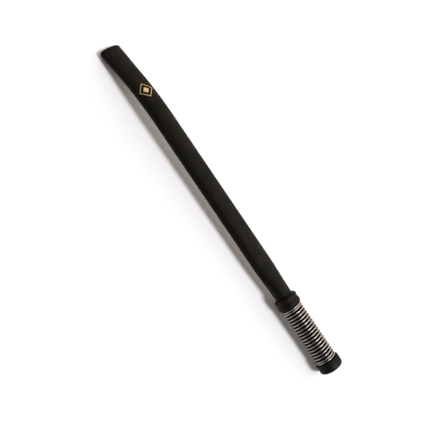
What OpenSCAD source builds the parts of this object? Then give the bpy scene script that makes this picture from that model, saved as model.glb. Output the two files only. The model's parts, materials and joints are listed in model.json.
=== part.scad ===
// Bombilla: a drinking straw for mate with a spring filter.
// The straw lies on a flat surface with its mouth towards -X and its filter towards +X.
// It rests on the cap's lower edge and on the mouth's lower lip.

/* [Straw] */
// Outer diameter of the round lower end
tube_d = 9.5; // [8.5:0.1:10]
// Wall of the tube
tube_wall = 0.65; // [0.4:0.05:0.8]
// Width of the oval along the hand's length
oval_w = 11.4; // [10:0.1:12]
// Height of that oval
oval_h = 6.7; // [6:0.1:8]
// Length of the round end that shows above the collar
round_show = 0.5; // [0.3:0.1:2]
// Length over which the round end becomes oval
oval_run = 21; // [15:1:40]
// Straight length, from the tube's lower end to the bend
straight_len = 115.5; // [90:0.5:130]
// Radius of the bend, at the middle of the tube
bend_r = 134; // [90:1:160]
// Angle of the bend
bend_angle = 14.2; // [8:0.1:20]
// Straight length after the bend
mouth_len = 18.2; // [12:0.1:25]
// Width of the flat mouth
mouth_w = 12.2; // [10.5:0.1:13]
// Height of the flat mouth
mouth_h = 5.0; // [4:0.1:6]
// How square the mouth's section is: 2 is an ellipse
mouth_power = 2.5; // [2:0.1:3.5]
// Length over which the oval flattens into the mouth
flatten_run = 38; // [25:1:50]
// Length at the tip over which the mouth flares
flare_run = 22; // [10:1:40]
// Length at the tip that is fully flat
mouth_flat = 7; // [4:0.5:12]
// Radius of the mouth's corners, seen from above
mouth_corner_r = 0.6; // [0.4:0.1:2]
// How far the mouth's edge bows out between its corners
mouth_bow = 0.2; // [0:0.1:1]

/* [Collar] */
// Length of the collar
collar_len = 6.2; // [5.5:0.1:8]
// How far the collar stands out past the spring
collar_overhang = 0.7; // [0.4:0.05:1.5]
// Length of the upper bead, and the lower one takes the rest
upper_bead = 2.8; // [2.5:0.1:3.2]
// Fillet of the two beads
bead_fillet = 1.2; // [0.5:0.1:1.3]
// Depth of the waist between the beads
waist_depth = 0.25; // [0.1:0.05:0.5]
// Thickness of the inner step that the tube's end sits on
collar_step = 1.2; // [0.8:0.1:2]

/* [Core pipe] */
// Wall of the core pipe
core_wall = 0.7; // [0.5:0.05:0.9]
// Length of the core pipe inside the straw
core_spigot = 8; // [4:0.5:15]
// Diameter of the drilled holes
hole_d = 2.0; // [1:0.1:2.4]
// Distance between the rings of holes
hole_pitch = 3.2; // [2.8:0.1:5]
// Distance from each end of the spring to the nearest hole
hole_margin = 4.5; // [3:0.5:8]

/* [Spring] */
// Length between the collar and the cap
spring_len = 33; // [25:0.5:45]
// Wire of the spring
wire_d = 1.0; // [0.8:0.05:1.2]
// Number of turns
spring_turns = 19; // [12:1:20]
// Turns at each end that are wound closer
closed_turns = 1.5; // [1:0.5:2]
// Gap between those closer turns
closed_gap = 0.45; // [0.42:0.01:0.5]

/* [Cap] */
// Length of the cap
cap_len = 5.4; // [5:0.1:10]
// How far the cap stands out past the spring
cap_overhang = 0.75; // [0.5:0.05:1.5]
// Fillet of the cap's closed end
cap_fillet = 1.5; // [0.5:0.1:2]
// Fillet of the cap's open rim
rim_fillet = 0.3; // [0.1:0.05:0.5]
// Thickness of the cap's closed end
cap_floor = 1.4; // [1:0.1:2.5]

/* [Fits] */
// Radial gap that the brazing fills
braze_gap = 0.05; // [0.02:0.01:0.1]
// Radial running gap of the cap on the core pipe
thread_gap = 0.05; // [0.02:0.01:0.1]
// Gap between the core pipe's end and the cap's floor
core_end_gap = 0.3; // [0.1:0.1:0.6]
// Radial play of the spring on the core pipe
spring_play = 0.65; // [0.45:0.05:1]
// Gap between the spring and its seats
seat_gap = 0.1; // [0.05:0.05:0.3]

/* [Hidden] */

round_fn = 96;
hole_fn = 32;
// How far a cut runs past the face that it opens
cut_over = 1;
coat_black = "#26231e";
steel_bright = "#c9c6be";

// Diameters, each from the piece that it fits
tube_bore = tube_d - 2 * tube_wall;
core_d = tube_bore - 2 * braze_gap;
core_bore = core_d - 2 * core_wall;
spring_d = core_d + 2 * (spring_play + wire_d);
collar_d = spring_d + 2 * collar_overhang;
cap_d = spring_d + 2 * cap_overhang;

// Places along the straight axis, from 0 at the collar's lower face, +X towards the cap
straw_end_x = -collar_step;
core_top_x = straw_end_x - core_spigot;
cap_rim_x = spring_len;
cap_end_x = spring_len + cap_len;
core_end_x = cap_end_x - cap_floor - core_end_gap;

// Path of the straw's middle line, by its length from the tube's lower end
bend_len = bend_r * bend_angle * PI / 180;
straw_len = straight_len + bend_len + mouth_len;
function turned(t) = t <= straight_len ? 0
  : t >= straight_len + bend_len ? bend_angle
  : (t - straight_len) / bend_r * 180 / PI;
function along(t) = [-cos(turned(t)), 0, -sin(turned(t))];
function above(t) = [-sin(turned(t)), 0, cos(turned(t))];
function bend_point(t) = [-bend_r * sin(turned(t)), 0, -bend_r * (1 - cos(turned(t)))];
function middle(t) = [straw_end_x - min(t, straight_len), 0, 0]
  + bend_point(t)
  + max(0, t - straight_len - bend_len) * along(t);

// Section of the straw at a length t
function ease(u) = let (v = min(1, max(0, u))) v * v * (3 - 2 * v);
round_len = collar_len - collar_step + round_show;
function ovalled(t) = ease((t - round_len) / oval_run);
function flattened(t) = ease((t - straw_len + mouth_flat + flatten_run) / flatten_run);
function flared(t) = ease((t - straw_len + flare_run) / flare_run);
function half_w(t) = (tube_d + (oval_w - tube_d) * ovalled(t) + (mouth_w - oval_w) * flared(t)) / 2;
function half_h(t) = (tube_d + (oval_h - tube_d) * ovalled(t) + (mouth_h - oval_h) * flattened(t)) / 2;
function power(t) = 2 + (mouth_power - 2) * flattened(t);
function signed_pow(v, p) = sign(v) * pow(abs(v), p);

// The mouth's edge is bowed and its corners are rounded by setting the tube's end back at its sides
corner_run = 6;
function bow(y) = mouth_bow * pow(2 * y / mouth_w, 2);
function past_corner(y) = min(mouth_corner_r, max(0, abs(y) - mouth_w / 2 + mouth_corner_r));
function setback(y) = bow(y) + mouth_corner_r - sqrt(pow(mouth_corner_r, 2) - pow(past_corner(y), 2));
function near_tip(t) = max(0, 1 - (straw_len - t) / corner_run);

// One point of the straw's skin, inset from its outer face
function skin_point(t, inset, a) =
  let (y = (half_w(t) - inset) * signed_pow(cos(a), 2 / power(t)))
  let (z = (half_h(t) - inset) * signed_pow(sin(a), 2 / power(t)))
  middle(t) + [0, y, 0] + z * above(t) - setback(y) * near_tip(t) * along(t);

// Rings of the skin: up the outside, round the lip and down the inside
skin_sides = 40;
oval_rings = 9;
grip_rings = 3;
mouth_rings = 20;
lip_rings = 4;
grip_start = round_len + oval_run;
mouth_start = min(straight_len, straw_len - mouth_flat - flatten_run);
lip_start = straw_len - tube_wall / 2;
outer_stations = concat(
  [0],
  [for (i = [0 : oval_rings - 1]) round_len + oval_run * i / oval_rings],
  [for (i = [0 : grip_rings - 1]) grip_start + (mouth_start - grip_start) * i / grip_rings],
  [for (i = [0 : mouth_rings]) mouth_start + (lip_start - mouth_start) * i / mouth_rings]);
inner_stations = [for (i = [len(outer_stations) - 1 : -1 : 0]) outer_stations[i]];
lip_arc = [for (i = [1 : lip_rings - 1]) 180 * i / lip_rings];
skin_rings = concat(
  [for (t = outer_stations) [t, 0]],
  [for (a = lip_arc) [lip_start + tube_wall / 2 * sin(a), tube_wall / 2 * (1 - cos(a))]],
  [for (t = inner_stations) [t, tube_wall]]);

// The straw's place on the surface: the cap's lower fillet and the lower lip both touch it
lip_r = tube_wall / 2;
cap_foot = [cap_end_x - cap_fillet, -(cap_d / 2 - cap_fillet)];
cap_brow = [cap_foot[0], -cap_foot[1]];
function lip_centre(side) =
  let (p = middle(lip_start) + side * (mouth_h / 2 - lip_r) * above(lip_start)) [p[0], p[2]];
lip_foot = lip_centre(-1);
lip_brow = lip_centre(1);
foot_span = cap_foot - lip_foot;
rest_tilt = atan2(foot_span[1], foot_span[0]) + asin((lip_r - cap_fillet) / norm(foot_span));
function tilted(p) = [
  p[0] * cos(rest_tilt) + p[1] * sin(rest_tilt),
  p[1] * cos(rest_tilt) - p[0] * sin(rest_tilt)];
low_z = tilted(cap_foot)[1] - cap_fillet;
far_x = max(tilted(cap_brow)[0], tilted(cap_foot)[0]) + cap_fillet;
near_x = min(tilted(lip_brow)[0], tilted(lip_foot)[0]) - lip_r;
function place(p) = tilted(p) - [(far_x + near_x) / 2, low_z];

// The spring's middle line, by turns from the collar, wound right-handed
turn_rings = 8;
wire_sides = 6;
coil_r = (spring_d - wire_d) / 2;
coil_start = seat_gap + wire_d / 2;
coil_len = spring_len - 2 * coil_start;
closed_pitch = wire_d + closed_gap;
open_turns = spring_turns - 2 * closed_turns;
open_pitch = (coil_len - 2 * closed_turns * closed_pitch) / open_turns;
function coil_x(n) = coil_start
  + closed_pitch * min(n, closed_turns)
  + open_pitch * min(open_turns, max(0, n - closed_turns))
  + closed_pitch * max(0, n - closed_turns - open_turns);
function coil_point(n, r) = [coil_x(n), -r * sin(360 * n), r * cos(360 * n)];
coil_count = round(spring_turns * turn_rings);
coil_steps = [for (i = [0 : coil_count]) i / turn_rings];
function wire_point(n, a) = coil_point(n, coil_r + wire_d / 2 * cos(a)) - [wire_d / 2 * sin(a), 0, 0];

// Least gap of the spring to itself, between each ring and the rings about one turn on
coil_middle = [for (n = coil_steps) coil_point(n, coil_r)];
coil_gaps = [for (i = [0 : coil_count], j = [i + turn_rings - 2 : i + turn_rings + 2])
  if (j <= coil_count) norm(coil_middle[j] - coil_middle[i]) - wire_d];
echo(str("least gap of the spring to itself: ", min(coil_gaps), " mm"));
echo(str("rest tilt: ", rest_tilt, " deg, axis point: ", place([0, 0]), " mm"));
echo(str("cap end centre: ", place([cap_end_x, 0]), " mm, cap rim centre: ", place([cap_rim_x, 0]), " mm"));

// Puts the straw, drawn along its straight axis, down on the surface
module placed() {
  translate([-(far_x + near_x) / 2, 0, -low_z]) rotate([0, rest_tilt, 0]) children();
}

// Turns a half outline, drawn as radius and length, about the straight axis
module turned_piece() {
  rotate([0, 90, 0]) rotate_extrude($fn = round_fn) children();
}

// Half outline of a plain round bar or bore
module plain_bar(r, from, to) {
  translate([0, from]) square([r, to - from]);
}

// Half outline of a bar with its two outer corners rounded
module rounded_bar(r, from, to, fillet_from, fillet_to) {
  difference() {
    plain_bar(r, from, to);
    translate([r - fillet_from, from]) square(fillet_from);
    translate([r - fillet_to, to - fillet_to]) square(fillet_to);
  }
  translate([r - fillet_from, from + fillet_from]) circle(r = fillet_from, $fn = round_fn);
  translate([r - fillet_to, to - fillet_to]) circle(r = fillet_to, $fn = round_fn);
}

// Faces of a skin of rings, each joined to the next, as triangles
function ring_faces(rings, sides) = [
  for (i = [0 : rings - 1], k = [0 : sides - 1])
    let (a = i * sides + k, b = i * sides + (k + 1) % sides)
    each [[a, a + sides, b], [b, a + sides, b + sides]]];

// The flattened tube, with its bore
module straw_tube() {
  ring_count = len(skin_rings);
  points = [for (ring = skin_rings, k = [0 : skin_sides - 1])
    skin_point(ring[0], ring[1], 360 * k / skin_sides)];
  faces = [for (f = ring_faces(ring_count, skin_sides)) [for (v = f) v % (ring_count * skin_sides)]];
  color(coat_black) placed() polyhedron(points, faces, convexity = 6);
}

// Two beads with a waist between them, stepped inside for the tube and the core pipe
module filter_collar() {
  collar_top = -collar_len;
  waist_x = collar_top + upper_bead;
  color(coat_black) placed() difference() {
    turned_piece() union() {
      rounded_bar(collar_d / 2, collar_top, waist_x, bead_fillet, bead_fillet);
      rounded_bar(collar_d / 2, waist_x, 0, bead_fillet, bead_fillet);
      plain_bar(collar_d / 2 - waist_depth, collar_top + bead_fillet, -bead_fillet);
    }
    turned_piece() plain_bar(tube_d / 2 + braze_gap, collar_top - cut_over, -collar_step);
    turned_piece() plain_bar(core_d / 2 + braze_gap, collar_top - cut_over, cut_over);
  }
}

// The drilled pipe inside the spring, with a plain end for the cap's thread
module core_pipe() {
  hole_rings = floor((spring_len - 2 * hole_margin) / hole_pitch) + 1;
  first_hole = (spring_len - (hole_rings - 1) * hole_pitch) / 2;
  color(coat_black) placed() difference() {
    turned_piece() translate([core_bore / 2, core_top_x]) square([core_wall, core_end_x - core_top_x]);
    for (i = [0 : hole_rings - 1], side = [0, 90])
      translate([first_hole + i * hole_pitch, 0, 0]) rotate([side + 45 * (i % 2), 0, 0])
        cylinder(h = core_d + 2 * cut_over, d = hole_d, center = true, $fn = hole_fn);
  }
}

// The coil, one unbroken tube from end to end
module filter_spring() {
  points = [for (n = coil_steps, k = [0 : wire_sides - 1]) wire_point(n, 360 * k / wire_sides)];
  last = coil_count * wire_sides;
  start_face = [for (k = [1 : wire_sides - 2]) [0, k, k + 1]];
  end_face = [for (k = [1 : wire_sides - 2]) [last, last + k + 1, last + k]];
  color(steel_bright) placed()
    polyhedron(points, concat(ring_faces(coil_count, wire_sides), start_face, end_face), convexity = 20);
}

// The blind screw cap
module end_cap() {
  color(coat_black) placed() difference() {
    turned_piece() rounded_bar(cap_d / 2, cap_rim_x, cap_end_x, rim_fillet, cap_fillet);
    turned_piece() plain_bar(core_d / 2 + thread_gap, cap_rim_x - cut_over, cap_end_x - cap_floor);
  }
}

straw_tube();
filter_collar();
core_pipe();
filter_spring();
end_cap();
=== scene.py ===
import json
from math import asin, atan2, ceil, cos, degrees, pi, radians, sin, sqrt, tan

import bpy
from mathutils import Matrix, Vector


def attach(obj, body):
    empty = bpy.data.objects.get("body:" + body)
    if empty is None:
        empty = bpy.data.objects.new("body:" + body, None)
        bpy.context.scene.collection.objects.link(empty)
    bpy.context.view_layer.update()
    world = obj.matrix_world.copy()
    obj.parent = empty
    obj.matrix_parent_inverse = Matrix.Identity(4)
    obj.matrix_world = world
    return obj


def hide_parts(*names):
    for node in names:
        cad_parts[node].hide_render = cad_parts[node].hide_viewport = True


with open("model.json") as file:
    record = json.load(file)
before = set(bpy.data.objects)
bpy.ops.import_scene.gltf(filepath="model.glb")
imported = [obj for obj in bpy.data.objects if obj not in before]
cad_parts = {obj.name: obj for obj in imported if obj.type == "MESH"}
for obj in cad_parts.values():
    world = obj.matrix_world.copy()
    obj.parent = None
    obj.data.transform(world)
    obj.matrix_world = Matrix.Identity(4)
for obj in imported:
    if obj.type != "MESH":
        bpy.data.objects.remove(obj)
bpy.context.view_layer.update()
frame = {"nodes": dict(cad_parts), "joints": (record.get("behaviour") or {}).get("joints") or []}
print("frame loaded with", sorted(frame["nodes"]))

# Pieces are modelled in millimetres along the straw's straight axis, then put down in the frame.
# x is 0 at the collar's lower face and grows towards the cap, z is up, y is across the mouth.
millimetre = 0.001
layout = {
    "springLen": 33.0,   # collar's lower face to the cap's rim
    "capLen": 5.4,
    "capFloor": 1.4,     # thickness of the cap's closed end
    "coreDia": 8.1,
    "tubeDia": 9.5,
    "brazeGap": 0.05,
}
capTurn = next(j for j in frame["joints"] if j["name"] == "cap_turn")
axisDir = Vector(capTurn["axis"]).normalized()
capMiddle = (layout["springLen"] + layout["capLen"] / 2) * millimetre
axisStart = Vector(capTurn["pos_m"]) - capMiddle * axisDir
restTilt = atan2(-axisDir.z, axisDir.x)
layDown = Matrix.Translation(axisStart) @ Matrix.Rotation(restTilt, 4, "Y")
inFrame = layDown @ Matrix.Scale(millimetre, 4)


# Camera
view = {
    "place": (0.01515, -0.11235, 0.24353),
    "turn": (15.846, -18.876, 53.176),   # degrees
    "lens": 40.91,
    "sensor": 36.0,
}


def placeCamera():
    bpy.ops.object.camera_add(location=view["place"], rotation=[radians(a) for a in view["turn"]])
    camera = bpy.context.object
    camera.data.lens = view["lens"]
    camera.data.sensor_width = view["sensor"]
    bpy.context.scene.camera = camera


# Modelling helpers
bench = {
    "merge": 0.0005,     # points nearer than this become one
    "latheSteps": 128,
    "smoothDeg": 40.0,   # edges sharper than this stay sharp
}


def deselectAll():
    if bpy.context.object and bpy.context.object.mode != "OBJECT":
        bpy.ops.object.mode_set(mode="OBJECT")
    bpy.ops.object.select_all(action="DESELECT")


def pick(piece):
    deselectAll()
    piece.select_set(True)
    bpy.context.view_layer.objects.active = piece


def applyModifier(piece, kind, **settings):
    pick(piece)
    modifier = piece.modifiers.new(kind.title(), kind)
    for key, value in settings.items():
        setattr(modifier, key, value)
    bpy.ops.object.modifier_apply(modifier=modifier.name)


def arcPoints(centre, radius, fromDeg, toDeg, steps):
    angles = [radians(fromDeg + (toDeg - fromDeg) * i / steps) for i in range(steps + 1)]
    return [(centre[0] + radius * cos(a), centre[1] + radius * sin(a)) for a in angles]


def startVertex(name, x, r):
    deselectAll()
    bpy.ops.mesh.primitive_plane_add(size=1)
    piece = bpy.context.object
    piece.name = name
    bpy.ops.object.mode_set(mode="EDIT")
    bpy.ops.mesh.select_all(action="SELECT")
    bpy.ops.mesh.merge(type="CENTER")
    bpy.ops.transform.translate(value=(x, 0, r))
    return piece


def drawOutline(name, outline):
    piece = startVertex(name, *outline[0])
    for (x0, r0), (x1, r1) in zip(outline, outline[1:]):
        bpy.ops.mesh.extrude_vertices_move(TRANSFORM_OT_translate={"value": (x1 - x0, 0, r1 - r0)})
    return piece


def closeSkin():
    bpy.ops.mesh.select_all(action="SELECT")
    bpy.ops.mesh.remove_doubles(threshold=bench["merge"])
    bpy.ops.mesh.normals_make_consistent(inside=False)


def turnOnLathe(name, outline):
    piece = drawOutline(name, outline)
    bpy.ops.mesh.select_all(action="SELECT")
    bpy.ops.mesh.spin(steps=bench["latheSteps"], angle=2 * pi, center=(0, 0, 0), axis=(1, 0, 0))
    closeSkin()
    bpy.ops.object.mode_set(mode="OBJECT")
    return piece


def cutAway(piece, cutter):
    applyModifier(piece, "BOOLEAN", object=cutter, operation="DIFFERENCE", solver="EXACT")
    bpy.data.objects.remove(cutter)
    # the cut leaves slivers, which merge away
    bpy.ops.object.mode_set(mode="EDIT")
    closeSkin()
    bpy.ops.object.mode_set(mode="OBJECT")


def finishPiece(piece, node, body, material, smoothDeg=bench["smoothDeg"]):
    pick(piece)
    piece.matrix_world = inFrame
    bpy.ops.object.transform_apply(location=True, rotation=True, scale=True)
    bpy.ops.object.shade_smooth_by_angle(angle=radians(smoothDeg))
    piece.data.materials.clear()
    piece.data.materials.append(material)
    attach(piece, body)
    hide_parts(node)
    print(piece.name, "done,", len(piece.data.polygons), "faces")


# Straw
straw = {
    "lowerEnd": -1.2,      # x of the tube's lower end, inside the collar
    "wall": 0.65,
    "ovalWidth": 11.4,
    "ovalHeight": 6.7,
    "roundLen": 5.5,       # round stretch at the lower end
    "ovalRun": 21.0,
    "straightLen": 115.5,
    "bendRadius": 134.0,
    "bendDeg": 14.2,
    "mouthLen": 18.2,      # straight stretch after the bend
    "mouthWidth": 12.2,
    "mouthHeight": 5.0,
    "mouthPower": 2.5,     # 2 is an ellipse, more is squarer
    "flattenRun": 38.0,
    "flareRun": 22.0,
    "mouthFlat": 7.0,      # fully flattened stretch at the tip
    "cornerRadius": 0.6,   # mouth's corners, seen from above
    "bow": 0.2,            # how far the mouth's edge stands out between its corners
    "cornerRun": 6.0,
    "lipRound": 0.3,
    "lipSegments": 4,
    "lipDeg": 50.0,        # edges sharper than this are rounded
    "sides": 112,
    "ovalRings": 12,
    "gripRings": 4,
    "bendRings": 24,
    "mouthRings": 14,
}
bendLen = straw["bendRadius"] * radians(straw["bendDeg"])
strawLen = straw["straightLen"] + bendLen + straw["mouthLen"]


def ease(u):
    v = min(1, max(0, u))
    return v * v * (3 - 2 * v)


def ovalAt(t, size):
    share = ease((t - straw["roundLen"]) / straw["ovalRun"])
    return layout["tubeDia"] + (size - layout["tubeDia"]) * share


def flatAt(t):
    return ease((t - strawLen + straw["mouthFlat"] + straw["flattenRun"]) / straw["flattenRun"])


def halfWidth(t):
    flare = ease((t - strawLen + straw["flareRun"]) / straw["flareRun"])
    growth = (straw["mouthWidth"] - straw["ovalWidth"]) * flare
    return (ovalAt(t, straw["ovalWidth"]) + growth) / 2


def halfHeight(t):
    growth = (straw["mouthHeight"] - straw["ovalHeight"]) * flatAt(t)
    return (ovalAt(t, straw["ovalHeight"]) + growth) / 2


def evenSteps(first, last, count):
    return [first + (last - first) * i / count for i in range(1, count + 1)]


def signedPower(value, power):
    return abs(value) ** power * (1 if value >= 0 else -1)


def extrudeTube(stations):
    deselectAll()
    bpy.ops.mesh.primitive_circle_add(vertices=straw["sides"], radius=layout["tubeDia"] / 2,
                                      location=(straw["lowerEnd"], 0, 0), rotation=(0, pi / 2, 0))
    tube = bpy.context.object
    tube.name = "straw_body"
    bpy.ops.object.transform_apply(location=True, rotation=True, scale=True)
    bpy.ops.object.mode_set(mode="EDIT")
    bpy.ops.mesh.select_all(action="SELECT")
    for t0, t1 in zip(stations, stations[1:]):
        bpy.ops.mesh.extrude_region_move(TRANSFORM_OT_translate={"value": (t0 - t1, 0, 0)})
        growth = (1, halfWidth(t1) / halfWidth(t0), halfHeight(t1) / halfHeight(t0))
        bpy.ops.transform.resize(value=growth, center_override=(straw["lowerEnd"] - t1, 0, 0))
    bpy.ops.object.mode_set(mode="OBJECT")
    return tube


def pressMouth(tube):
    radius = straw["cornerRadius"]
    for vertex in tube.data.vertices:
        x, y, z = vertex.co
        t = straw["lowerEnd"] - x
        power = 2 / (2 + (straw["mouthPower"] - 2) * flatAt(t))
        y = halfWidth(t) * signedPower(y / halfWidth(t), power)
        z = halfHeight(t) * signedPower(z / halfHeight(t), power)
        # the end is set back at its sides, so the corners are round from above
        past = min(radius, max(0, abs(y) - straw["mouthWidth"] / 2 + radius))
        setback = radius - sqrt(radius * radius - past * past)
        setback += straw["bow"] * (2 * y / straw["mouthWidth"]) ** 2
        nearTip = max(0, 1 - (strawLen - t) / straw["cornerRun"])
        vertex.co = (x + setback * nearTip, y, z)


def turnBeyond(tube, limit, pivotX, angle):
    bpy.ops.object.mode_set(mode="OBJECT")
    for vertex in tube.data.vertices:
        vertex.select = vertex.co.x < limit
    bpy.ops.object.mode_set(mode="EDIT")
    bpy.ops.transform.rotate(value=angle, orient_axis="Y", center_override=(pivotX, 0, 0))


def bendTube(tube, rings):
    pick(tube)
    bpy.ops.object.mode_set(mode="EDIT")
    bpy.ops.mesh.select_mode(type="VERT")
    bpy.ops.mesh.select_all(action="DESELECT")
    step = radians(straw["bendDeg"]) / (len(rings) - 1)
    gap = (rings[1] - rings[0]) / 2
    for i, t in reversed(list(enumerate(rings))):
        share = 0.5 if i in (0, len(rings) - 1) else 1  # the bend's end rings turn half a step
        pivotX = straw["lowerEnd"] - t
        # the ring turns half as far as what lies beyond it
        for limit in (pivotX + gap, pivotX - gap):
            turnBeyond(tube, limit, pivotX, step * share / 2)
    bpy.ops.object.mode_set(mode="OBJECT")


def makeStraw(material):
    gripStart = straw["roundLen"] + straw["ovalRun"]
    bendEnd = straw["straightLen"] + bendLen
    bendRings = [straw["straightLen"]]
    bendRings += evenSteps(straw["straightLen"], bendEnd, straw["bendRings"])
    stations = [0, straw["roundLen"]]
    stations += evenSteps(straw["roundLen"], gripStart, straw["ovalRings"])
    stations += evenSteps(gripStart, straw["straightLen"], straw["gripRings"])
    stations += bendRings[1:]
    stations += evenSteps(bendEnd, strawLen, straw["mouthRings"])
    tube = extrudeTube(stations)
    pressMouth(tube)
    bendTube(tube, bendRings)
    pick(tube)
    bpy.ops.object.mode_set(mode="EDIT")
    closeSkin()
    bpy.ops.object.mode_set(mode="OBJECT")
    applyModifier(tube, "SOLIDIFY", thickness=straw["wall"], offset=-1, use_even_offset=True)
    applyModifier(tube, "BEVEL", width=straw["lipRound"], segments=straw["lipSegments"],
                  limit_method="ANGLE", angle_limit=radians(straw["lipDeg"]))
    finishPiece(tube, "straw_tube", "straw", material)


# Collar
collar = {
    "length": 6.2,
    "outerDia": 12.8,
    "upperBead": 2.8,
    "beadRound": 1.2,
    "waistDepth": 0.25,
    "step": 1.2,         # inner shoulder that the tube's end sits on
    "beadSteps": 8,
    "waistSteps": 6,
}


def makeCollar(material):
    outerR = collar["outerDia"] / 2
    bead = collar["beadRound"]
    topX = -collar["length"]
    midX = topX + collar["upperBead"]
    tubeR = layout["tubeDia"] / 2 + layout["brazeGap"]
    coreR = layout["coreDia"] / 2 + layout["brazeGap"]
    beadR = outerR - bead
    # where the beads' rounds meet the waist's floor
    waistDeg = degrees(asin(1 - collar["waistDepth"] / bead))
    outline = [(-collar["step"], coreR), (-collar["step"], tubeR), (topX, tubeR)]
    outline += arcPoints((topX + bead, beadR), bead, 180, 90, collar["beadSteps"])
    outline += arcPoints((midX - bead, beadR), bead, 90, waistDeg, collar["waistSteps"])
    outline += arcPoints((midX + bead, beadR), bead, 180 - waistDeg, 90,
                         collar["waistSteps"])
    outline += arcPoints((-bead, beadR), bead, 90, 0, collar["beadSteps"])
    outline += [(0, coreR), (-collar["step"], coreR)]
    piece = turnOnLathe("collar", outline)
    finishPiece(piece, "filter_collar", "straw", material)


# Thread, cut into the core pipe's end and the cap's bore
thread = {
    "pitch": 0.8,
    "depth": 0.3,
    "flat": 0.12,        # width at the thread's root
    "open": 0.44,        # half width at the mouth of the groove, as a share of the pitch
    "clear": 0.1,        # how far the cutter stands out of the surface
    "shortBy": 0.6,      # where the groove stops before the shoulder or the floor
    "runOut": 1.0,       # how far the cutter runs past the open end
    "steps": 64,
}


def cutThread(piece, startX, endX, faceR, inward):
    pitch = thread["pitch"]
    rootR = faceR + thread["depth"] * inward
    openR = faceR - thread["clear"] * inward
    half = pitch * thread["open"]
    flat = thread["flat"] / 2
    outline = [(startX - half, openR), (startX - flat, rootR), (startX + flat, rootR),
               (startX + half, openR), (startX - half, openR)]
    turns = ceil((endX - startX) / pitch)
    cutter = drawOutline("thread_cutter", outline)
    closeSkin()
    bpy.ops.object.mode_set(mode="OBJECT")
    applyModifier(cutter, "SCREW", axis="X", angle=2 * pi, screw_offset=pitch, iterations=turns,
                  steps=thread["steps"], render_steps=thread["steps"], use_merge_vertices=False)
    pick(cutter)
    bpy.ops.object.mode_set(mode="EDIT")
    bpy.ops.mesh.select_all(action="SELECT")
    bpy.ops.mesh.fill_holes(sides=0)
    closeSkin()
    bpy.ops.object.mode_set(mode="OBJECT")
    cutAway(piece, cutter)


# Core pipe
core = {
    "wall": 0.7,
    "spigot": 8.0,       # length inside the straw
    "endGap": 0.3,
    "holeDia": 2.0,
    "holeSides": 40,
    "holesPerRing": 4,
    "holePitch": 3.2,
    "holeMargin": 4.5,
    "holeTurn": 22.5,    # of the first ring, so that no two holes line up from the camera's side
    "edgeRound": 0.12,
    "edgeSteps": 3,
    "bodyDia": 9.4,      # drilled stretch between the collar and the cap
    "bodyGap": 0.15,     # from the collar and from the cap
    "smoothDeg": 30.0,
}


def drillHoles(pipe):
    span = layout["springLen"] - 2 * core["holeMargin"]
    rings = int(span // core["holePitch"]) + 1
    firstX = (layout["springLen"] - (rings - 1) * core["holePitch"]) / 2
    reach = core["bodyDia"] / 2
    apart = 360 / core["holesPerRing"]
    drills = []
    for i in range(rings):
        for hole in range(core["holesPerRing"]):
            # every second ring is turned by half the holes' spacing
            turn = radians(core["holeTurn"] + apart * hole + apart / 2 * (i % 2))
            deselectAll()
            bpy.ops.mesh.primitive_cylinder_add(
                vertices=core["holeSides"], radius=core["holeDia"] / 2, depth=reach,
                location=(firstX + i * core["holePitch"], -reach * sin(turn), reach * cos(turn)),
                rotation=(turn, 0, 0))
            drills.append(bpy.context.object)
    deselectAll()
    for drill in drills:
        drill.select_set(True)
    bpy.context.view_layer.objects.active = drills[0]
    bpy.ops.object.join()
    cutter = bpy.context.object
    bpy.ops.object.transform_apply(location=True, rotation=True, scale=True)
    cutAway(pipe, cutter)


def makeCore(material):
    outerR = layout["coreDia"] / 2
    innerR = outerR - core["wall"]
    topX = -collar["step"] - core["spigot"]
    endX = layout["springLen"] + layout["capLen"] - layout["capFloor"] - core["endGap"]
    edge = core["edgeRound"]
    steps = core["edgeSteps"]
    outline = arcPoints((topX + edge, innerR + edge), edge, 270, 180, steps)
    outline += arcPoints((topX + edge, outerR - edge), edge, 180, 90, steps)
    bodyR = core["bodyDia"] / 2
    bodyStart = core["bodyGap"]
    bodyEnd = layout["springLen"] - core["bodyGap"]
    outline.append((bodyStart, outerR))
    outline += arcPoints((bodyStart + edge, bodyR - edge), edge, 180, 90, steps)
    outline += arcPoints((bodyEnd - edge, bodyR - edge), edge, 90, 0, steps)
    outline.append((bodyEnd, outerR))
    outline += arcPoints((endX - edge, outerR - edge), edge, 90, 0, steps)
    outline += arcPoints((endX - edge, innerR + edge), edge, 0, -90, steps)
    outline.append(outline[0])
    pipe = turnOnLathe("core_pipe_drilled", outline)
    drillHoles(pipe)
    cutThread(pipe, layout["springLen"] + thread["shortBy"], endX + thread["runOut"], outerR, -1)
    finishPiece(pipe, "core_pipe", "straw", material, core["smoothDeg"])


# Spring
spring = {
    "wireDia": 0.82,
    "outerDia": 11.4,
    "seatGap": 0.02,     # from the collar and from the cap's rim
    "turns": 19.65,
    "closedTurns": 1.15,
    "closedPitch": 1.0,
    "startDeg": 70.0,    # from the top towards +y, where the wire begins
    "steps": 64,         # points on the wire in one turn
    "wireRound": 5,
}


def coilX(n):
    startX = spring["seatGap"] + spring["wireDia"] / 2
    closed = spring["closedTurns"]
    openTurns = spring["turns"] - 2 * closed
    closedLen = closed * spring["closedPitch"]
    openPitch = (layout["springLen"] - 2 * startX - 2 * closedLen) / openTurns
    x = startX + spring["closedPitch"] * min(n, closed)
    x += openPitch * min(openTurns, max(0, n - closed))
    return x + spring["closedPitch"] * max(0, n - closed - openTurns)


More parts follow.
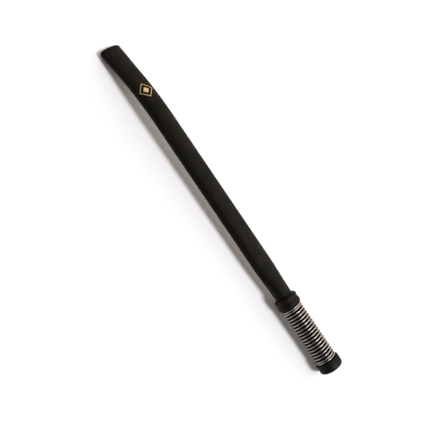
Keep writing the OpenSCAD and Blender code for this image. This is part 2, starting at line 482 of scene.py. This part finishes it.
def makeSpring(material):
    coilR = (spring["outerDia"] - spring["wireDia"]) / 2
    coil = startVertex("spring_coil", 0, coilR)
    bpy.ops.transform.rotate(value=radians(spring["startDeg"]), orient_axis="X",
                             center_override=(0, 0, 0))
    bpy.ops.object.mode_set(mode="OBJECT")
    steps = round(spring["turns"] * spring["steps"])
    applyModifier(coil, "SCREW", axis="X", angle=2 * pi * spring["turns"],
                  screw_offset=spring["turns"], iterations=1, steps=steps, render_steps=steps,
                  use_merge_vertices=False)
    # the screw climbs 1 mm a turn, so x counts the turns
    for vertex in coil.data.vertices:
        vertex.co.x = coilX(vertex.co.x)
    pick(coil)
    bpy.ops.object.convert(target="CURVE")
    coil = bpy.context.object
    coil.data.dimensions = "3D"
    coil.data.bevel_depth = spring["wireDia"] / 2
    coil.data.bevel_resolution = spring["wireRound"]
    coil.data.use_fill_caps = True
    bpy.ops.object.convert(target="MESH")
    coil = bpy.context.object
    bpy.ops.object.mode_set(mode="EDIT")
    closeSkin()
    bpy.ops.object.mode_set(mode="OBJECT")
    finishPiece(coil, "filter_spring", "spring", material)


# Cap
cap = {
    "outerDia": 12.9,
    "endRound": 1.5,
    "endSteps": 12,
    "rimRound": 0.3,
    "rimSteps": 4,
    "threadGap": 0.05,
}


def makeCap(material):
    outerR = cap["outerDia"] / 2
    rimX = layout["springLen"]
    endX = rimX + layout["capLen"]
    boreR = layout["coreDia"] / 2 + cap["threadGap"]
    floorX = endX - layout["capFloor"]
    rim = cap["rimRound"]
    end = cap["endRound"]
    outline = [(floorX, 0), (floorX, boreR), (rimX, boreR)]
    outline += arcPoints((rimX + rim, outerR - rim), rim, 180, 90, cap["rimSteps"])
    outline += arcPoints((endX - end, outerR - end), end, 90, 0, cap["endSteps"])
    outline += [(endX, outerR / 2), (endX, 0)]
    piece = turnOnLathe("screw_cap", outline)
    cutThread(piece, rimX - thread["runOut"], floorX - thread["shortBy"], boreR, 1)
    finishPiece(piece, "end_cap", "cap", material)


# Materials
def newMaterial(name):
    material = bpy.data.materials.new(name)
    material.use_nodes = True
    return material, material.node_tree.nodes, material.node_tree.links


def addMath(tree, operation, first, second=None):
    node = tree.nodes.new("ShaderNodeMath")
    node.operation = operation
    for socket, value in zip(node.inputs, (first, second)):
        if isinstance(value, bpy.types.NodeSocket):
            tree.links.new(value, socket)
        elif value is not None:
            socket.default_value = value
    return node.outputs[0]


def addRange(tree, value, fromLow, fromHigh, toLow, toHigh, smooth=False):
    node = tree.nodes.new("ShaderNodeMapRange")
    if smooth:
        node.interpolation_type = "SMOOTHSTEP"
    tree.links.new(value, node.inputs["Value"])
    limits = {"From Min": fromLow, "From Max": fromHigh, "To Min": toLow, "To Max": toHigh}
    for name, number in limits.items():
        node.inputs[name].default_value = number
    return node.outputs["Result"]


def addNoise(tree, vector, scale, detail):
    node = tree.nodes.new("ShaderNodeTexNoise")
    node.inputs["Detail"].default_value = detail
    tree.links.new(vector, node.inputs["Vector"])
    if isinstance(scale, bpy.types.NodeSocket):
        tree.links.new(scale, node.inputs["Scale"])
    else:
        node.inputs["Scale"].default_value = scale
    return node.outputs["Fac"]


def addMix(tree, factor, first, second):
    node = tree.nodes.new("ShaderNodeMix")
    node.data_type = "RGBA"
    for name, value in (("Factor_Float", factor), ("A_Color", first), ("B_Color", second)):
        socket = next(i for i in node.inputs if i.identifier == name)
        if isinstance(value, bpy.types.NodeSocket):
            tree.links.new(value, socket)
        else:
            socket.default_value = value
    return next(o for o in node.outputs if o.identifier == "Result_Color")


# Coat: fine grain of a baked black paint, with faint handling marks
coat = {
    "outer": {
        "dark": (0.0022, 0.0021, 0.0018, 1),
        "light": (0.0056, 0.0052, 0.0043, 1),
        "specular": 0.11,
    },
    "core": {                  # on the core pipe: darker and browner than the outer coat, as painted shade in the gaps between the spring's turns
        "dark": (0.0016, 0.0010, 0.0004, 1),
        "light": (0.0044, 0.0028, 0.0012, 1),
        "specular": 0.03,
    },
    "tint": (1.0, 0.95, 0.83, 1),
    "roughLow": 0.46,
    "roughHigh": 0.62,
    "grainPerMm": 3.2,
    "grainDetail": 3,
    "grainShare": 0.6,         # how far the grain lightens the coat
    "rubPerMm": 0.16,
    "rubDetail": 4,
    "rubShare": 0.4,           # how far the rubs do
    "spread": (0.35, 0.7),     # noise values between which a speck or a rub builds up
    "dullness": 0.5,           # a higher value is rougher all over
    "bump": 0.22,
    "bumpMm": 0.05,
}


def buildCoatGroup():
    group = bpy.data.node_groups.new("baked_coat", "ShaderNodeTree")
    takes = {"Vector": "Vector", "Grain": "Float", "Rub": "Float",
             "Dark": "Color", "Light": "Color"}
    gives = {"Color": "Color", "Roughness": "Float", "Height": "Float"}
    for sockets, way in ((takes, "INPUT"), (gives, "OUTPUT")):
        for name, kind in sockets.items():
            group.interface.new_socket(name, in_out=way, socket_type="NodeSocket" + kind)
    given = group.nodes.new("NodeGroupInput")
    made = group.nodes.new("NodeGroupOutput")
    grain = addNoise(group, given.outputs["Vector"], given.outputs["Grain"], coat["grainDetail"])
    rub = addNoise(group, given.outputs["Vector"], given.outputs["Rub"], coat["rubDetail"])
    speck = addRange(group, grain, *coat["spread"], 0, 1, smooth=True)
    worn = addRange(group, rub, *coat["spread"], 0, 1, smooth=True)
    lift = addMath(group, "ADD", addMath(group, "MULTIPLY", speck, coat["grainShare"]),
                   addMath(group, "MULTIPLY", worn, coat["rubShare"]))
    paint = addMix(group, lift, given.outputs["Dark"], given.outputs["Light"])
    group.links.new(paint, made.inputs["Color"])
    dull = addMath(group, "SUBTRACT", addMath(group, "ADD", grain, coat["dullness"]), worn)
    rough = addRange(group, dull, 0, 1, coat["roughLow"], coat["roughHigh"])
    group.links.new(rough, made.inputs["Roughness"])
    group.links.new(grain, made.inputs["Height"])
    return group


def makeCoat(name, group, shade):
    material, nodes, links = newMaterial(name)
    shader = nodes["Principled BSDF"]
    shader.inputs["Specular IOR Level"].default_value = shade["specular"]
    shader.inputs["Specular Tint"].default_value = coat["tint"]
    coords = nodes.new("ShaderNodeTexCoord")
    paint = nodes.new("ShaderNodeGroup")
    paint.node_tree = group
    links.new(coords.outputs["Object"], paint.inputs["Vector"])
    paint.inputs["Grain"].default_value = coat["grainPerMm"] / millimetre
    paint.inputs["Rub"].default_value = coat["rubPerMm"] / millimetre
    paint.inputs["Dark"].default_value = shade["dark"]
    paint.inputs["Light"].default_value = shade["light"]
    bump = nodes.new("ShaderNodeBump")
    bump.inputs["Strength"].default_value = coat["bump"]
    bump.inputs["Distance"].default_value = coat["bumpMm"] * millimetre
    links.new(paint.outputs["Color"], shader.inputs["Base Color"])
    links.new(paint.outputs["Roughness"], shader.inputs["Roughness"])
    links.new(paint.outputs["Height"], bump.inputs["Height"])
    links.new(bump.outputs["Normal"], shader.inputs["Normal"])
    return material, coords, paint


# Mark: a plain gold lozenge inside another, printed on the mouth's top
mark = {
    "fromTip": 33.1,
    "halfLong": 4.5,
    "halfWide": 4.0,
    "line": 0.05,          # half of the outline's thickness, as a share of the lozenge
    "heart": 0.42,         # inner lozenge, as a share of the outer one
    "reach": 2.0,          # how far below the top the print can lie
    "gold": (0.62, 0.48, 0.27, 1),
}


def markPlace():
    turn = (strawLen - mark["fromTip"] - straw["straightLen"]) / straw["bendRadius"]
    middleX = straw["lowerEnd"] - straw["straightLen"] - straw["bendRadius"] * sin(turn)
    middleZ = straw["bendRadius"] * (cos(turn) - 1)
    up = halfHeight(strawLen - mark["fromTip"])
    top = inFrame @ Vector((middleX - up * sin(turn), 0, middleZ + up * cos(turn)))
    return top, restTilt - turn


def addMark(material, coords, paint):
    tree = material.node_tree
    shader = tree.nodes["Principled BSDF"]
    place = tree.nodes.new("ShaderNodeMapping")
    place.vector_type = "TEXTURE"
    top, lean = markPlace()
    place.inputs["Location"].default_value = top
    place.inputs["Rotation"].default_value = (0, lean, 0)
    place.inputs["Scale"].default_value = (millimetre,) * 3
    tree.links.new(coords.outputs["Object"], place.inputs["Vector"])
    split = tree.nodes.new("ShaderNodeSeparateXYZ")
    tree.links.new(place.outputs["Vector"], split.inputs[0])
    along = addMath(tree, "ABSOLUTE", split.outputs["X"])
    across = addMath(tree, "ABSOLUTE", split.outputs["Y"])
    lozenge = addMath(tree, "ADD", addMath(tree, "DIVIDE", along, mark["halfLong"]),
                      addMath(tree, "DIVIDE", across, mark["halfWide"]))
    edge = addMath(tree, "ABSOLUTE", addMath(tree, "SUBTRACT", lozenge, 1 - mark["line"]))
    outline = addMath(tree, "LESS_THAN", edge, mark["line"])
    heart = addMath(tree, "LESS_THAN", lozenge, mark["heart"])
    onTop = addMath(tree, "GREATER_THAN", split.outputs["Z"], -mark["reach"])
    mask = addMath(tree, "MULTIPLY", addMath(tree, "MAXIMUM", outline, heart), onTop)
    printed = addMix(tree, mask, paint.outputs["Color"], mark["gold"])
    tree.links.new(printed, shader.inputs["Base Color"])
    tree.links.new(mask, shader.inputs["Metallic"])


# Steel: drawn wire with streaks along it, duller patches, and painted shade on its inner side,
# where the turns shade each other
steel = {
    "pale": (0.48, 0.472, 0.455, 1),
    "deep": (0.32, 0.312, 0.297, 1),
    "streakPerMm": 5.0,
    "streakDetail": 2,
    "streakShare": 0.6,
    "patchPerMm": 0.5,
    "patchDetail": 3,
    "patchShare": 0.4,
    "drawnSpread": (0.35, 0.65),  # noise values between deep and pale
    "roughSpread": (0.3, 0.7),    # noise values between the least and the most roughness
    "roughLow": 0.34,
    "roughHigh": 0.48,
    # painted shade: a dark colour on the wire's inner side and flanks, where the turns shade each
    # other
    "paintedShade": (0.020, 0.013, 0.006, 1),
    "shadeFrom": 0.19,            # from the wire's middle outwards, where the painted shade thins out
    "shadeTo": 0.42,
}


def makeSteel():
    material, nodes, links = newMaterial("spring_steel")
    tree = material.node_tree
    shader = nodes["Principled BSDF"]
    shader.inputs["Metallic"].default_value = 1
    coords = nodes.new("ShaderNodeTexCoord")
    place = nodes.new("ShaderNodeMapping")
    place.vector_type = "TEXTURE"
    place.inputs["Location"].default_value = axisStart
    place.inputs["Rotation"].default_value = (0, restTilt, 0)
    place.inputs["Scale"].default_value = (millimetre,) * 3
    links.new(coords.outputs["Object"], place.inputs["Vector"])
    split = nodes.new("ShaderNodeSeparateXYZ")
    links.new(place.outputs["Vector"], split.inputs[0])
    squares = addMath(tree, "ADD", addMath(tree, "POWER", split.outputs["Y"], 2),
                      addMath(tree, "POWER", split.outputs["Z"], 2))
    radius = addMath(tree, "SQRT", squares)
    # the wire runs round the axis, so a streak along it keeps its x and its radius
    around = nodes.new("ShaderNodeCombineXYZ")
    links.new(split.outputs["X"], around.inputs["X"])
    links.new(radius, around.inputs["Y"])
    streak = addNoise(tree, around.outputs[0], steel["streakPerMm"], steel["streakDetail"])
    patch = addNoise(tree, place.outputs["Vector"], steel["patchPerMm"], steel["patchDetail"])
    mottle = addMath(tree, "ADD", addMath(tree, "MULTIPLY", streak, steel["streakShare"]),
                     addMath(tree, "MULTIPLY", patch, steel["patchShare"]))
    drawn = addRange(tree, mottle, *steel["drawnSpread"], 0, 1)
    bright = addMix(tree, drawn, steel["deep"], steel["pale"])
    # painted shade: the wire darkens towards the coil's axis, where the turns shade it
    coilR = (spring["outerDia"] - spring["wireDia"]) / 2
    shadeRing = (coilR + steel["shadeFrom"], coilR + steel["shadeTo"])
    unshaded = addRange(tree, radius, *shadeRing, 0, 1, smooth=True)
    links.new(addMix(tree, unshaded, steel["paintedShade"], bright), shader.inputs["Base Color"])
    rough = addRange(tree, patch, *steel["roughSpread"], steel["roughLow"], steel["roughHigh"])
    links.new(rough, shader.inputs["Roughness"])
    return material


# Floor, lamps and world
studio = {
    "floorSize": 6.0,
    "floorColour": (0.94, 0.94, 0.94, 1),
    "floorGlow": 0.07,         # the floor's own light, for the camera and for reflections
    "glowColour": (1.0, 0.84, 0.80, 1),
    "keyLean": (30.0, 10.0),   # lamp's lean in degrees from straight overhead, towards +x and +y
    "keySize": 0.7,
    "keyPower": 46.5,
    "keyColour": (0.98, 1.0, 1.03),
    "sideLean": (20.0, 62.0),
    "sideSize": 1.5,
    "sidePower": 12.0,
    "sideColour": (1.0, 0.90, 0.74),
    "lampDistance": 2.5,
    "worldDark": 0.10,         # world on the -y side
    "darkColour": (1.0, 0.98, 0.96, 1),
    "worldBright": 1.5,        # world on the +y side
    "brightColour": (1.0, 0.86, 0.67, 1),
    "mattColour": (1.0, 0.94, 0.92, 1),  # world's light on matt surfaces
    "worldTurn": (-0.4, 0.5),  # y of the directions between which it brightens
    "worldShare": 0.52,        # part of the world that lights matt surfaces
    "horizon": 0.6,            # least strength of the world near the floor
    "horizonDeg": (8.0, 14.0),  # elevations between which that gives way
}


def makeFloor():
    deselectAll()
    bpy.ops.mesh.primitive_plane_add(size=studio["floorSize"])
    floor = bpy.context.object
    floor.name = "floor"
    material, nodes, links = newMaterial("floor_white")
    tree = material.node_tree
    shader = nodes["Principled BSDF"]
    shader.inputs["Base Color"].default_value = studio["floorColour"]
    shader.inputs["Roughness"].default_value = 1
    shader.inputs["Specular IOR Level"].default_value = 0
    shader.inputs["Emission Color"].default_value = studio["glowColour"]
    rays = nodes.new("ShaderNodeLightPath")
    seen = addMath(tree, "MAXIMUM", rays.outputs["Is Camera Ray"], rays.outputs["Is Glossy Ray"])
    seen = addMath(tree, "MAXIMUM", seen, rays.outputs["Is Transmission Ray"])
    glow = addMath(tree, "MULTIPLY", seen, studio["floorGlow"])
    links.new(glow, shader.inputs["Emission Strength"])
    floor.data.materials.append(material)


def addLamp(name):
    leanX, leanY = [radians(a) for a in studio[name + "Lean"]]
    away = Vector((tan(leanX), tan(leanY), 1)).normalized()
    turn = away.to_track_quat("Z", "Y").to_euler()
    bpy.ops.object.light_add(type="AREA", location=away * studio["lampDistance"], rotation=turn)
    lamp = bpy.context.object
    lamp.name = name + "_lamp"
    lamp.data.shape = "DISK"
    lamp.data.size = studio[name + "Size"]
    lamp.data.energy = studio[name + "Power"]
    lamp.data.color = studio[name + "Colour"]


def makeLight():
    addLamp("key")
    addLamp("side")
    world = bpy.data.worlds.new("studio")
    bpy.context.scene.world = world
    world.use_nodes = True
    tree = world.node_tree
    backdrop = tree.nodes["Background"]
    coords = tree.nodes.new("ShaderNodeTexCoord")
    split = tree.nodes.new("ShaderNodeSeparateXYZ")
    tree.links.new(coords.outputs["Generated"], split.inputs[0])
    turned = addRange(tree, split.outputs["Y"], *studio["worldTurn"], 0, 1, smooth=True)
    side = addRange(tree, turned, 0, 1, studio["worldDark"], studio["worldBright"])
    low, high = [sin(radians(a)) for a in studio["horizonDeg"]]
    horizon = addRange(tree, split.outputs["Z"], low, high, studio["horizon"], 0, smooth=True)
    rays = tree.nodes.new("ShaderNodeLightPath")
    matt = rays.outputs["Is Diffuse Ray"]
    shade = addMix(tree, turned, studio["darkColour"], studio["brightColour"])
    tree.links.new(addMix(tree, matt, shade, studio["mattColour"]), backdrop.inputs["Color"])
    share = addRange(tree, matt, 0, 1, 1, studio["worldShare"])
    glow = addMath(tree, "MULTIPLY", addMath(tree, "MAXIMUM", side, horizon), share)
    tree.links.new(glow, backdrop.inputs["Strength"])


placeCamera()
print("camera placed")
coatGroup = buildCoatGroup()
strawCoat, strawCoords, strawPaint = makeCoat("straw_coat", coatGroup, coat["outer"])
addMark(strawCoat, strawCoords, strawPaint)
pieceCoat = makeCoat("black_coat", coatGroup, coat["outer"])[0]
coreShadeCoat = makeCoat("core_coat", coatGroup, coat["core"])[0]
springSteel = makeSteel()
print("coats and steel made")
makeStraw(strawCoat)
makeCollar(pieceCoat)
makeCore(coreShadeCoat)
makeSpring(springSteel)
makeCap(pieceCoat)
makeFloor()
makeLight()
print("floor and lamps placed")
bpy.context.scene.view_settings.view_transform = "Standard"
